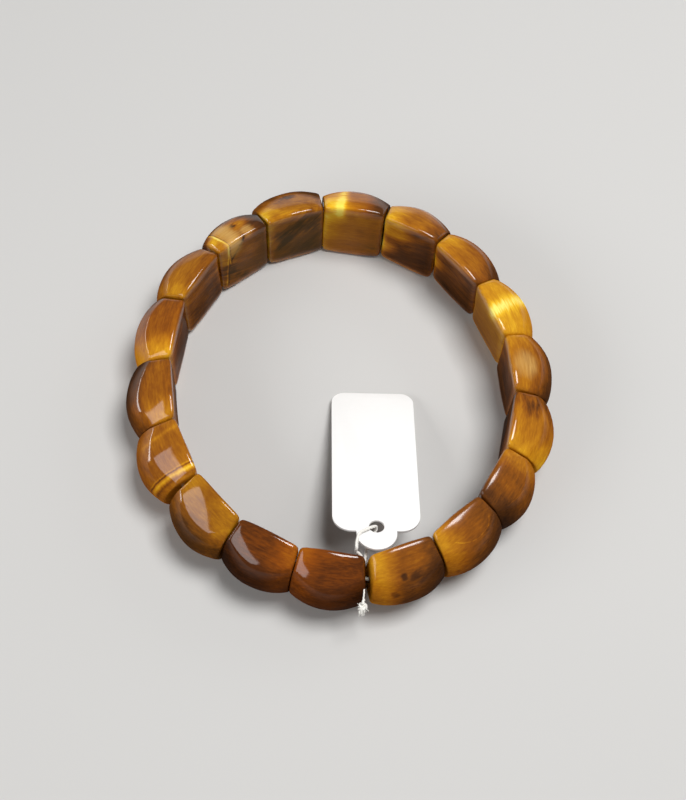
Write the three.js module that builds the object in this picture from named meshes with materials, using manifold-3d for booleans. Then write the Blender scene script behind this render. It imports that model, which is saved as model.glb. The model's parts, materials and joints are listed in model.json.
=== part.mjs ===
// A stretch bracelet of domed tiger's eye beads, lying flat, with a blank card tag tied to it.
// Millimetres, +Z up. It rests on the plane z = 0, with the middle of its box over the origin.

import * as THREE from "three";
import { mergeVertices } from "three/addons/utils/BufferGeometryUtils.js";
import Module from "manifold-3d";

const wasm = await Module();
wasm.setup();

// The ring on which neighbouring beads meet, a slightly squashed circle
const RING_HALF_WIDTH = 27.0;
const RING_HALF_DEPTH = 29.2;
const RING_TURN = THREE.MathUtils.degToRad(16);
const RING_START = THREE.MathUtils.degToRad(106);

// The hand-cut beads, clockwise from above: length, depth at the crown, inward lean in degrees, how
// far the joint that follows stands out from the ring, and colour
const BEADS = [
  { length: 9.7, depth: 8.4, lean: -3, out: 0.0, colour: "#5a3a1c" },
  { length: 10.0, depth: 7.5, lean: -4, out: -0.3, colour: "#a8742c" },
  { length: 9.6, depth: 7.2, lean: -1, out: -0.2, colour: "#8a5a22" },
  { length: 9.9, depth: 7.2, lean: 4, out: -0.5, colour: "#7a4a1e" },
  { length: 10.0, depth: 7.2, lean: 4, out: -0.5, colour: "#b8842e" },
  { length: 9.6, depth: 7.5, lean: 2, out: -0.3, colour: "#7a4b22" },
  { length: 9.7, depth: 7.5, lean: 0, out: -0.2, colour: "#9a6426" },
  { length: 9.1, depth: 7.3, lean: 0, out: -0.2, colour: "#80491f" },
  { length: 9.7, depth: 7.3, lean: 0, out: 0.0, colour: "#a8692a" },
  { length: 10.0, depth: 7.2, lean: -1, out: 0.5, colour: "#a46a2a" },
  { length: 9.9, depth: 7.2, lean: 0, out: 0.1, colour: "#5c2c18" },
  { length: 9.7, depth: 7.2, lean: 0, out: 0.2, colour: "#743618" },
  { length: 9.7, depth: 7.7, lean: 0, out: 0.2, colour: "#b4822e" },
  { length: 9.5, depth: 7.9, lean: 0, out: 0.1, colour: "#b07a2a" },
  { length: 10.1, depth: 7.6, lean: 0, out: -0.1, colour: "#b06a26" },
  { length: 10.1, depth: 7.3, lean: 0, out: 0.3, colour: "#a8682a" },
  { length: 9.6, depth: 7.3, lean: -2, out: 0.1, colour: "#7e5a2a" },
  { length: 9.5, depth: 7.2, lean: -2, out: -0.4, colour: "#b89458" },
];

// One bead before its edges are rounded; depths are outward from the flat inner face
const BEAD_HEIGHT = 14.1;
const BEAD_BARREL = 0.7;
const CROWN_FALL = 1.8;
const CREASE_DEPTH = 5.3;
const CREASE_FALL = 2.1;
const SIDE_SLOPE = Math.tan(THREE.MathUtils.degToRad(27));
const INNER_CORNER = 0.6;
const EDGE_SOFTENING = 0.3;
const FLAT_HALF = 6.55;
const BEAD_GRID = {
  along: [-1, -0.86, -0.56, -0.2, 0.2, 0.56, 0.86, 1],
  outward: [-1, -0.66, 0.1, 0.86, 1],
  upward: [-1, -0.87, -0.45, 0, 0.45, 0.87, 1],
};

// The gap between neighbours, and how far the bead ends turn in to meet on the radius
const BEAD_GAP = 0.3;
const END_TAPER = 8.4;
const OPEN_JOINTS = {
  10: { gap: 1.2, taper: 7 },
  13: { gap: 0.4, taper: 3 },
  17: { gap: 0.4, taper: 3 },
};

// Two bores run through every bead, one above the other, with an elastic in each
const BORE_RADIUS = 0.65;
const BORE_SIDES = 8;
const BORE_DEPTH = 2.7;
const BORE_SPACING = 4.8;
const ELASTIC_RADIUS = 0.3;
const ELASTIC_SIDES = 6;
const ELASTIC_END_GAP = 0.8;
const ELASTIC_BEAD = 5;

// The card tag: a body with rounded corners, and a round tab with a hole
const TAG_WIDTH = 13.1;
const TAG_BODY_LENGTH = 28.1;
const TAG_THICKNESS = 0.4;
const TAG_FAR_CORNER = 2.1;
const TAG_NEAR_CORNER = 2.9;
const TAB_RADIUS = 3.0;
const TAB_CENTRE = 28.5;
const TAG_HOLE_RADIUS = 1.15;
const TAG_HOLE_CENTRE = 27.3;
const TAG_PLACE = new THREE.Vector3(4.84, 2.1, 0.1);
const TAG_YAW = THREE.MathUtils.degToRad(5);
const TAG_PITCH = THREE.MathUtils.degToRad(20.5);

// The cotton thread, from its knot through the gap, round the tag and back under the upper elastic
const TAG_JOINT = 10;
const THREAD_RADIUS = 0.25;
const THREAD_SIDES = 8;
const THREAD_STEPS = 44;
const KNOT_RADIUS = 0.7;
const KNOT_TAIL = 1.9;
const KNOT_DEPTH = 6.7;
const KNOT_HEIGHT = 1.8;
const KNOT_ACROSS = 0.95;
const THREAD_CLEARANCE = 0.4;

const stone = (colour) => new THREE.MeshStandardMaterial({ color: colour, roughness: 0.18, metalness: 0 });
const elasticMaterial = new THREE.MeshStandardMaterial({ color: "#d9d4c8", roughness: 0.4, metalness: 0 });
const cardMaterial = new THREE.MeshStandardMaterial({ color: "#e9e9e6", roughness: 0.75, metalness: 0 });
const cottonMaterial = new THREE.MeshStandardMaterial({ color: "#f1efe8", roughness: 0.9, metalness: 0 });

function solidOf(geometry) {
  const plain = geometry.clone();
  plain.deleteAttribute("normal");
  plain.deleteAttribute("uv");
  const merged = mergeVertices(plain, 1e-5);
  const vertProperties = new Float32Array(merged.attributes.position.array);
  const triVerts = new Uint32Array(merged.index.array);
  return new wasm.Manifold(new wasm.Mesh({ numProp: 3, vertProperties, triVerts }));
}

function geometryOf(solid) {
  const mesh = solid.getMesh();
  const geometry = new THREE.BufferGeometry();
  geometry.setAttribute("position", new THREE.BufferAttribute(new Float32Array(mesh.vertProperties), 3));
  geometry.setIndex(new THREE.BufferAttribute(new Uint32Array(mesh.triVerts), 1));
  geometry.computeVertexNormals();
  return geometry;
}

// Half the bead's length at a depth, on the end that is given
function endReach(end, depth) {
  return end.half + (depth - INNER_CORNER) * Math.tan(THREE.MathUtils.degToRad(end.taper));
}

// A point of the bead for grid places from -1 to 1 along, outward and upward
function beadPoint(along, outward, upward, cut) {
  const bend = along * along;
  const step = (outward + 1) / 2;
  const innerHalf = BEAD_HEIGHT / 2 - BEAD_BARREL * bend;
  const crease = CREASE_DEPTH - CREASE_FALL * bend;
  const crown = cut.depth - CROWN_FALL * bend;
  const depth = step * (crease + (crown - crease) * (1 - upward * upward));
  const half = innerHalf - step * crease * SIDE_SLOPE;
  const reach = endReach(along < 0 ? cut.start : cut.finish, depth);
  const height = THREE.MathUtils.clamp(upward * half, -FLAT_HALF, FLAT_HALF);
  return new THREE.Vector3(along * reach, depth, height);
}

// Grid places on an edge are drawn in towards the next place, which rounds the edge over
function softened(grid, index) {
  const last = grid.length - 1;
  if (index === 0) return grid[0] + (grid[1] - grid[0]) * EDGE_SOFTENING;
  if (index === last) return grid[last] + (grid[last - 1] - grid[last]) * EDGE_SOFTENING;
  return grid[index];
}

function beadGeometry(cut) {
  const { along, outward, upward } = BEAD_GRID;
  const counts = [along.length - 1, outward.length - 1, upward.length - 1];
  const box = new THREE.BoxGeometry(...counts, ...counts);
  const places = box.attributes.position;
  for (let i = 0; i < places.count; i += 1) {
    const a = Math.round(places.getX(i) + counts[0] / 2);
    const b = Math.round(places.getY(i) + counts[1] / 2);
    const c = Math.round(places.getZ(i) + counts[2] / 2);
    const onEnd = [a === 0 || a === counts[0], b === 0 || b === counts[1], c === 0 || c === counts[2]];
    const onEdge = onEnd.filter(Boolean).length > 1;
    const point = onEdge
      ? beadPoint(
          onEnd[0] ? softened(along, a) : along[a],
          onEnd[1] ? softened(outward, b) : outward[b],
          onEnd[2] ? softened(upward, c) : upward[c],
          cut,
        )
      : beadPoint(along[a], outward[b], upward[c], cut);
    places.setXYZ(i, point.x, point.y, point.z);
  }
  return box;
}

function boreGeometry(height) {
  const bore = new THREE.CylinderGeometry(BORE_RADIUS, BORE_RADIUS, BEAD_HEIGHT * 2, BORE_SIDES);
  bore.rotateZ(Math.PI / 2);
  bore.translate(0, BORE_DEPTH, height);
  return bore;
}

function drilledBead(cut) {
  const heights = [BORE_SPACING / 2, -BORE_SPACING / 2];
  const bores = heights.map((height) => solidOf(boreGeometry(height)));
  return geometryOf(bores.reduce((bead, bore) => bead.subtract(bore), solidOf(beadGeometry(cut))));
}

const bracelet = new THREE.Group();

// The beads stand on their edges round the ring, inner faces towards the middle
const ring = new THREE.EllipseCurve(
  0, 0, RING_HALF_WIDTH, RING_HALF_DEPTH, RING_START, RING_START - 2 * Math.PI, true, RING_TURN,
);
const ringLength = BEADS.reduce((sum, { length }) => sum + length, 0);

// The joint after a bead lies on the ring as far round as the beads up to it reach
function jointAfter(number) {
  const reached = BEADS.slice(0, number).reduce((sum, { length }) => sum + length, 0);
  const point = ring.getPointAt((reached / ringLength) % 1);
  return point.add(point.clone().setLength(BEADS[(number + BEADS.length - 1) % BEADS.length].out));
}

const jointShape = (number) => ({ gap: BEAD_GAP, taper: END_TAPER, ...OPEN_JOINTS[number] });

function beadCut(number, chord, depth) {
  const before = jointShape(number === 1 ? BEADS.length : number - 1);
  const after = jointShape(number);
  return {
    depth,
    start: { half: (chord - before.gap) / 2, taper: before.taper },
    finish: { half: (chord - after.gap) / 2, taper: after.taper },
  };
}

function placedBead({ depth, lean, colour }, index) {
  const from = jointAfter(index);
  const to = jointAfter(index + 1);
  const cut = beadCut(index + 1, from.distanceTo(to), depth);
  const bead = new THREE.Mesh(drilledBead(cut), stone(colour));
  bead.name = `bead_${String(index + 1).padStart(2, "0")}`;
  bead.position.y = -INNER_CORNER;
  const leaning = new THREE.Group();
  leaning.rotation.x = THREE.MathUtils.degToRad(lean);
  leaning.add(bead);
  const standing = new THREE.Group();
  standing.position.set((from.x + to.x) / 2, (from.y + to.y) / 2, 0);
  standing.rotation.z = Math.atan2(to.y - from.y, to.x - from.x);
  standing.add(leaning);
  standing.position.z -= new THREE.Box3().setFromObject(standing, true).min.z;
  standing.updateMatrixWorld(true);
  bracelet.add(standing);
  return { bead, cut };
}

const beads = BEADS.map(placedBead);

// Each elastic runs straight through its bores and bends in the gaps; its ends meet inside one bead
class SteppedCurve extends THREE.CatmullRomCurve3 {
  getPointAt(step, target) {
    return this.getPoint(step, target);
  }

  getTangentAt(step, target) {
    return this.getTangent(step, target);
  }
}

function inBead({ bead }, along, depth, height) {
  return bead.localToWorld(new THREE.Vector3(along, depth, height));
}

// A point in the gap that follows a bead, at a share of the way across it
function inGap(number, depth, height, across = 0.5) {
  const before = beads[number - 1];
  const after = beads[number % BEADS.length];
  const leaves = inBead(before, endReach(before.cut.finish, depth), depth, height);
  return leaves.lerp(inBead(after, -endReach(after.cut.start, depth), depth, height), across);
}

function elasticRoute(height) {
  const first = beads[ELASTIC_BEAD - 1];
  const route = [inBead(first, ELASTIC_END_GAP / 2, BORE_DEPTH, height)];
  for (let i = 0; i < BEADS.length; i += 1) {
    const number = ((ELASTIC_BEAD - 1 + i) % BEADS.length) + 1;
    route.push(inGap(number, BORE_DEPTH, height));
    route.push(inBead(beads[number % BEADS.length], 0, BORE_DEPTH, height));
  }
  route[route.length - 1] = inBead(first, -ELASTIC_END_GAP / 2, BORE_DEPTH, height);
  return new SteppedCurve(route);
}

function roundSection(radius, sides) {
  const section = new THREE.Shape();
  for (let i = 0; i < sides; i += 1) {
    const angle = (2 * Math.PI * i) / sides;
    section[i ? "lineTo" : "moveTo"](radius * Math.cos(angle), radius * Math.sin(angle));
  }
  section.closePath();
  return section;
}

function tube(path, radius, sides, steps) {
  return new THREE.ExtrudeGeometry(roundSection(radius, sides), { steps, extrudePath: path });
}

for (const [name, height] of [["elastic_upper", BORE_SPACING / 2], ["elastic_lower", -BORE_SPACING / 2]]) {
  const route = elasticRoute(height);
  const cord = tube(route, ELASTIC_RADIUS, ELASTIC_SIDES, BEADS.length * 2);
  const elastic = new THREE.Mesh(cord, elasticMaterial);
  elastic.name = name;
  bracelet.add(elastic);
}

// The tag leans from the surface inside the ring up to the inner faces of two beads
function tagShape() {
  const half = TAG_WIDTH / 2;
  const near = TAG_NEAR_CORNER;
  const far = TAG_FAR_CORNER;
  const quarter = Math.PI / 2;
  const tabTurn = Math.asin((TAB_CENTRE - TAG_BODY_LENGTH) / TAB_RADIUS);
  const shape = new THREE.Shape();
  shape.absarc(half - far, -far, far, quarter, 0, true);
  shape.absarc(half - near, near - TAG_BODY_LENGTH, near, 0, -quarter, true);
  shape.absarc(0, -TAB_CENTRE, TAB_RADIUS, tabTurn, -Math.PI - tabTurn, true);
  shape.absarc(near - half, near - TAG_BODY_LENGTH, near, -quarter, -2 * quarter, true);
  shape.absarc(far - half, -far, far, 2 * quarter, quarter, true);
  const hole = new THREE.Path();
  hole.absarc(0, -TAG_HOLE_CENTRE, TAG_HOLE_RADIUS, 0, 4 * quarter, false);
  shape.holes.push(hole);
  return shape;
}

const tagCard = new THREE.ExtrudeGeometry(tagShape(), {
  depth: TAG_THICKNESS,
  bevelEnabled: false,
  curveSegments: 4,
});
const tag = new THREE.Mesh(tagCard, cardMaterial);
tag.name = "tag";
tag.rotation.x = -TAG_PITCH;
const tagGroup = new THREE.Group();
tagGroup.position.copy(TAG_PLACE);
tagGroup.rotation.z = TAG_YAW;
tagGroup.add(tag);
tagGroup.position.z -= new THREE.Box3().setFromObject(tagGroup, true).min.z - TAG_PLACE.z;
tagGroup.updateMatrixWorld(true);
bracelet.add(tagGroup);

// Thread places are in the gap that it passes through (depth, height) or on the tag (across, along, up)
const gap = (depth, height, across) => inGap(TAG_JOINT, depth, height, across);
const onTag = (across, along, up) => tag.localToWorld(new THREE.Vector3(across, -along, up));

const threadRoute = new THREE.CatmullRomCurve3([
  gap(KNOT_DEPTH, KNOT_HEIGHT + KNOT_RADIUS + THREAD_CLEARANCE, KNOT_ACROSS),
  gap(KNOT_DEPTH - 0.6, 3.5, 0.8),
  gap(5.0, 4.1, 0.62),
  gap(3.6, 4.6, 0.62),
  gap(1.8, 4.8, 0.62),
  gap(0.3, 4.5, 0.62),
  gap(-0.7, 4.4, 1.4),
  gap(-0.7, 4.9, 2.4),
  gap(-1.1, 6.1, 2.3),
  onTag(-2.9, 30.2, 0.9),
  onTag(-2.5, 29.0, 1.0),
  onTag(-1.0, 28.0, 0.95),
  onTag(-0.1, 27.3, 0.3),
  onTag(-0.2, 27.5, -0.8),
  onTag(-1.2, 29.0, -1.5),
  gap(0.0, 2.1),
  gap(1.6, 0.7),
  gap(2.8, 0.0),
  gap(4.4, 0.2),
  gap(KNOT_DEPTH - KNOT_RADIUS - THREAD_CLEARANCE, KNOT_HEIGHT - 0.5, 0.7),
]);
const thread = new THREE.Mesh(tube(threadRoute, THREAD_RADIUS, THREAD_SIDES, THREAD_STEPS), cottonMaterial);
thread.name = "tag_thread";
bracelet.add(thread);

// The knot is a ball with a short frayed tail hanging from it
const knotProfile = [
  [0, KNOT_RADIUS],
  [KNOT_RADIUS * 0.7, KNOT_RADIUS * 0.7],
  [KNOT_RADIUS, 0],
  [KNOT_RADIUS * 0.55, -KNOT_RADIUS],
  [KNOT_RADIUS * 0.8, -KNOT_RADIUS - KNOT_TAIL * 0.55],
  [0, -KNOT_RADIUS - KNOT_TAIL],
].map(([radius, up]) => new THREE.Vector2(radius, up));
const knot = new THREE.Mesh(new THREE.LatheGeometry(knotProfile.reverse(), 10), cottonMaterial);
knot.name = "thread_knot";
knot.rotation.x = Math.PI / 2;
knot.position.copy(gap(KNOT_DEPTH, KNOT_HEIGHT, KNOT_ACROSS));
bracelet.add(knot);

// The middle of the whole bracelet goes to the origin
const middle = new THREE.Box3().setFromObject(bracelet, true).getCenter(new THREE.Vector3());
bracelet.position.set(-middle.x, -middle.y, 0);

export default bracelet;
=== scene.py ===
"""Looks for a stretch bracelet of domed tiger's eye beads with a blank card tag tied to it."""

import json
import math
import random

import bpy
import numpy as np
from mathutils import Matrix, Vector, noise

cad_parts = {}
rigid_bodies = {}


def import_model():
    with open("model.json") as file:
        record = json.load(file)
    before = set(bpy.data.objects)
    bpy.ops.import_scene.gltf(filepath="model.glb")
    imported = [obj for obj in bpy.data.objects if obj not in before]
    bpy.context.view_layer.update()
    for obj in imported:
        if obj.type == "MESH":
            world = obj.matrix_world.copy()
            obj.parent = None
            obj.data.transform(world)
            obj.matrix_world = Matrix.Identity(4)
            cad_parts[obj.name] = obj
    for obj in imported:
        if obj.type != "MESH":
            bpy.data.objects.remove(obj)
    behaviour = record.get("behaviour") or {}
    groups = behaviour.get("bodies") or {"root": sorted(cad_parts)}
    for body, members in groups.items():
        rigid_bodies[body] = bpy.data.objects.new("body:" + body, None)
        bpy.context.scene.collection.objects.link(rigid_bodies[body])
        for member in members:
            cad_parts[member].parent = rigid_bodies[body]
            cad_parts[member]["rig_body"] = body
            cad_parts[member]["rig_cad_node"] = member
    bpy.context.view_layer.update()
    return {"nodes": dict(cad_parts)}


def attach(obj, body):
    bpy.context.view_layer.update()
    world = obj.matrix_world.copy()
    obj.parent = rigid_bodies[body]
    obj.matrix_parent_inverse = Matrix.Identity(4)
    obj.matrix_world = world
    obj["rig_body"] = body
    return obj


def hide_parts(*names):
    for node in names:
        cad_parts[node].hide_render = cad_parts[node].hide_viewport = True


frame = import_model()

bl_info = {
    "name": "Tiger's Eye Bracelet",
    "version": (1, 0, 0),
    "blender": (4, 5, 0),
    "location": "View3D > Sidebar > Bracelet",
    "description": "Polished tiger's eye beads on elastic, with a card tag on a cotton thread",
    "category": "Object",
}

MM = 0.001
BEAD_NODES = sorted(name for name in frame["nodes"] if name.startswith("bead_"))
ELASTIC_NODES = sorted(name for name in frame["nodes"] if name.startswith("elastic_"))


def tint(code):
    """A colour written as six hex digits, as linear light."""
    shares = [int(code[i : i + 2], 16) / 255 for i in (0, 2, 4)]
    return [s / 12.92 if s <= 0.04045 else ((s + 0.055) / 1.055) ** 2.4 for s in shares]


def colour_prop(name, code, description):
    return bpy.props.FloatVectorProperty(
        name=name, description=description, default=tint(code), size=3, min=0.0, max=1.0, subtype="COLOR"
    )


def length_prop(name, millimetres, description):
    return bpy.props.FloatProperty(
        name=name, description=description, default=millimetres * MM, min=0.0, precision=5, unit="LENGTH"
    )


def angle_prop(name, degrees, description):
    return bpy.props.FloatProperty(
        name=name, description=description, default=math.radians(degrees), subtype="ANGLE"
    )


def place_prop(name, millimetres, description):
    return bpy.props.FloatVectorProperty(
        name=name, description=description, default=[part * MM for part in millimetres],
        subtype="TRANSLATION", precision=5, unit="LENGTH",
    )


def power_prop(name, watts, description):
    return bpy.props.FloatProperty(
        name=name, description=description, default=watts, min=0.0, unit="POWER"
    )


def share_prop(name, value, description):
    return bpy.props.FloatProperty(
        name=name, description=description, default=value, min=0.0, max=1.0, subtype="FACTOR"
    )


class StoneSettings(bpy.types.PropertyGroup):
    """The cut of a bead and the colours in the stone"""

    height: length_prop("Height", 14.1, "Height of the inner face before its edges are rounded")
    barrel: length_prop("Barrel", 0.7, "How much lower the inner face is at the bead's ends")
    crease_depth: length_prop("Crease depth", 5.3, "Depth of the crease between side and dome, mid-bead")
    crease_fall: length_prop("Crease fall", 2.1, "How far the crease comes in towards the bead's ends")
    crown_fall: length_prop("Crown fall", 1.8, "How far the dome falls away towards the bead's ends")
    side_slope: angle_prop("Side slope", 27, "Slope of the flat side between inner face and dome")
    side_camber: bpy.props.FloatProperty(
        name="Side camber", description="1 is a flat side, more makes it rounder",
        default=1.3, min=1.0, max=3.0,
    )
    unevenness: length_prop("Unevenness", 0.16, "Largest hand-cut wander of the surface")
    seed: bpy.props.IntProperty(
        name="Seed", description="Which hand-cut wander the beads are given", default=4, min=1
    )
    closing: length_prop("Closing", 0.15, "How far each end reaches into the gap to its neighbour")
    bore_radius: length_prop("Bore radius", 0.65, "Radius of the two drilled bores")
    bore_depth: length_prop("Bore depth", 2.7, "Depth of the bores outward from the inner face")
    bore_spacing: length_prop("Bore spacing", 4.8, "Distance between the two bores")
    black: colour_prop("Black", "130b06", "Unaltered dark fibre and pits")
    umber: colour_prop("Umber", "2e1a0d", "Darkest brown layers")
    brown: colour_prop("Brown", "593212", "Brown layers")
    amber: colour_prop("Amber", "8c4f12", "Orange-brown layers")
    honey: colour_prop("Honey", "b06f16", "Yellow-brown layers")
    gold: colour_prop("Gold", "cf911c", "Silky golden layers")
    yellow: colour_prop("Yellow", "f0bd2c", "Layers that catch the light")
    # The flash is a painted highlight: the sheen across the fibre is painted into the colour, fixed on the
    # stone
    flash: colour_prop("Flash", "ffed78", "The moving band of light across the fibre")
    dull: colour_prop("Dull", "7d6038", "Fibre seen along its length")
    # Pale colour of bleached layers, and of the painted sheen on the sixth bead's top
    cream: colour_prop("Cream", "d2a55c", "Bleached layers")
    polish: share_prop("Polish roughness", 0.07, "Roughness of the polished surface")


class TagSettings(bpy.types.PropertyGroup):
    """The card tag and its place"""

    width: length_prop("Width", 13.1, "Width of the card")
    body: length_prop("Body length", 28.1, "Length of the card without its tab")
    thickness: length_prop("Thickness", 0.4, "Thickness of the card")
    far_corner: length_prop("Far corners", 2.1, "Radius of the corners at the free end")
    near_corner: length_prop("Near corners", 2.9, "Radius of the corners beside the tab")
    tab_radius: length_prop("Tab radius", 3.0, "Radius of the round tab")
    tab_centre: length_prop("Tab centre", 28.5, "Distance of the tab's middle from the free end")
    hole_radius: length_prop("Hole radius", 1.15, "Radius of the hole")
    hole_centre: length_prop("Hole centre", 27.3, "Distance of the hole from the free end")
    place: place_prop("Place", (4.89116, 2.39286, 0.1), "Middle of the free end's lower edge")
    yaw: angle_prop("Yaw", 5, "Turn of the card seen from above")
    pitch: angle_prop("Pitch", -20.5, "Lean of the card against the beads")
    card: colour_prop("Card", "fdfdfc", "Colour of the card")
    card_shade: colour_prop("Card shade", "f6f5f3", "Darker fibres in the card")


class ThreadSettings(bpy.types.PropertyGroup):
    """The cotton thread, its knot and the elastics"""

    diameter: length_prop("Diameter", 0.5, "Thickness of the twisted thread")
    twist: length_prop("Twist", 1.5, "Length of one full turn of the strands")
    strands: bpy.props.IntProperty(
        name="Strands", description="Strands in the thread", default=3, min=2, max=5
    )
    pinch: share_prop("Pinch", 0.48, "How much thinner the thread is between two beads")
    knot_radius: length_prop("Knot radius", 0.7, "Radius of the knot")
    tail: length_prop("Tail", 1.9, "Length of the frayed tail")
    fibres: bpy.props.IntProperty(
        name="Fibres", description="Loose fibres round the knot and in its tail", default=56, min=0, max=200
    )
    cotton: colour_prop("Cotton", "fcfbf7", "Colour of the thread")
    cotton_shade: colour_prop("Cotton shade", "e8e5dc", "Darker fluff in the thread")
    elastic: colour_prop("Elastic", "a8a090", "Colour of the stretch cord")
    elastic_shade: colour_prop("Elastic shade", "8a8375", "Darker strands of the stretch cord")


class StageSettings(bpy.types.PropertyGroup):
    """Floor, lights and camera"""

    floor: colour_prop("Floor", "c9c8c6", "Colour of the floor")
    lens: bpy.props.FloatProperty(
        name="Lens", description="Focal length on a 36 mm sensor",
        default=59.735, min=1.0, subtype="DISTANCE_CAMERA",
    )
    place: place_prop("Place", (0.311, -84.363, 196.436), "Where the camera stands")
    tilt: angle_prop("Tilt", 23.5044, "Angle between the view and straight down")
    roll: angle_prop("Roll", 5.7496, "Turn of the camera about its view")
    key: power_prop("Key light", 2.7, "Lamp above the bracelet")
    window: power_prop("Window light", 0.9, "Soft panel on the left")
    side: power_prop("Side light", 0.34, "Low strip on the far left")
    fill: power_prop("Fill light", 0.25, "Dim panel on the right, not seen in reflections")
    sky: bpy.props.FloatProperty(
        name="Room light", description="Even light from all round", default=0.12, min=0.0
    )
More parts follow.
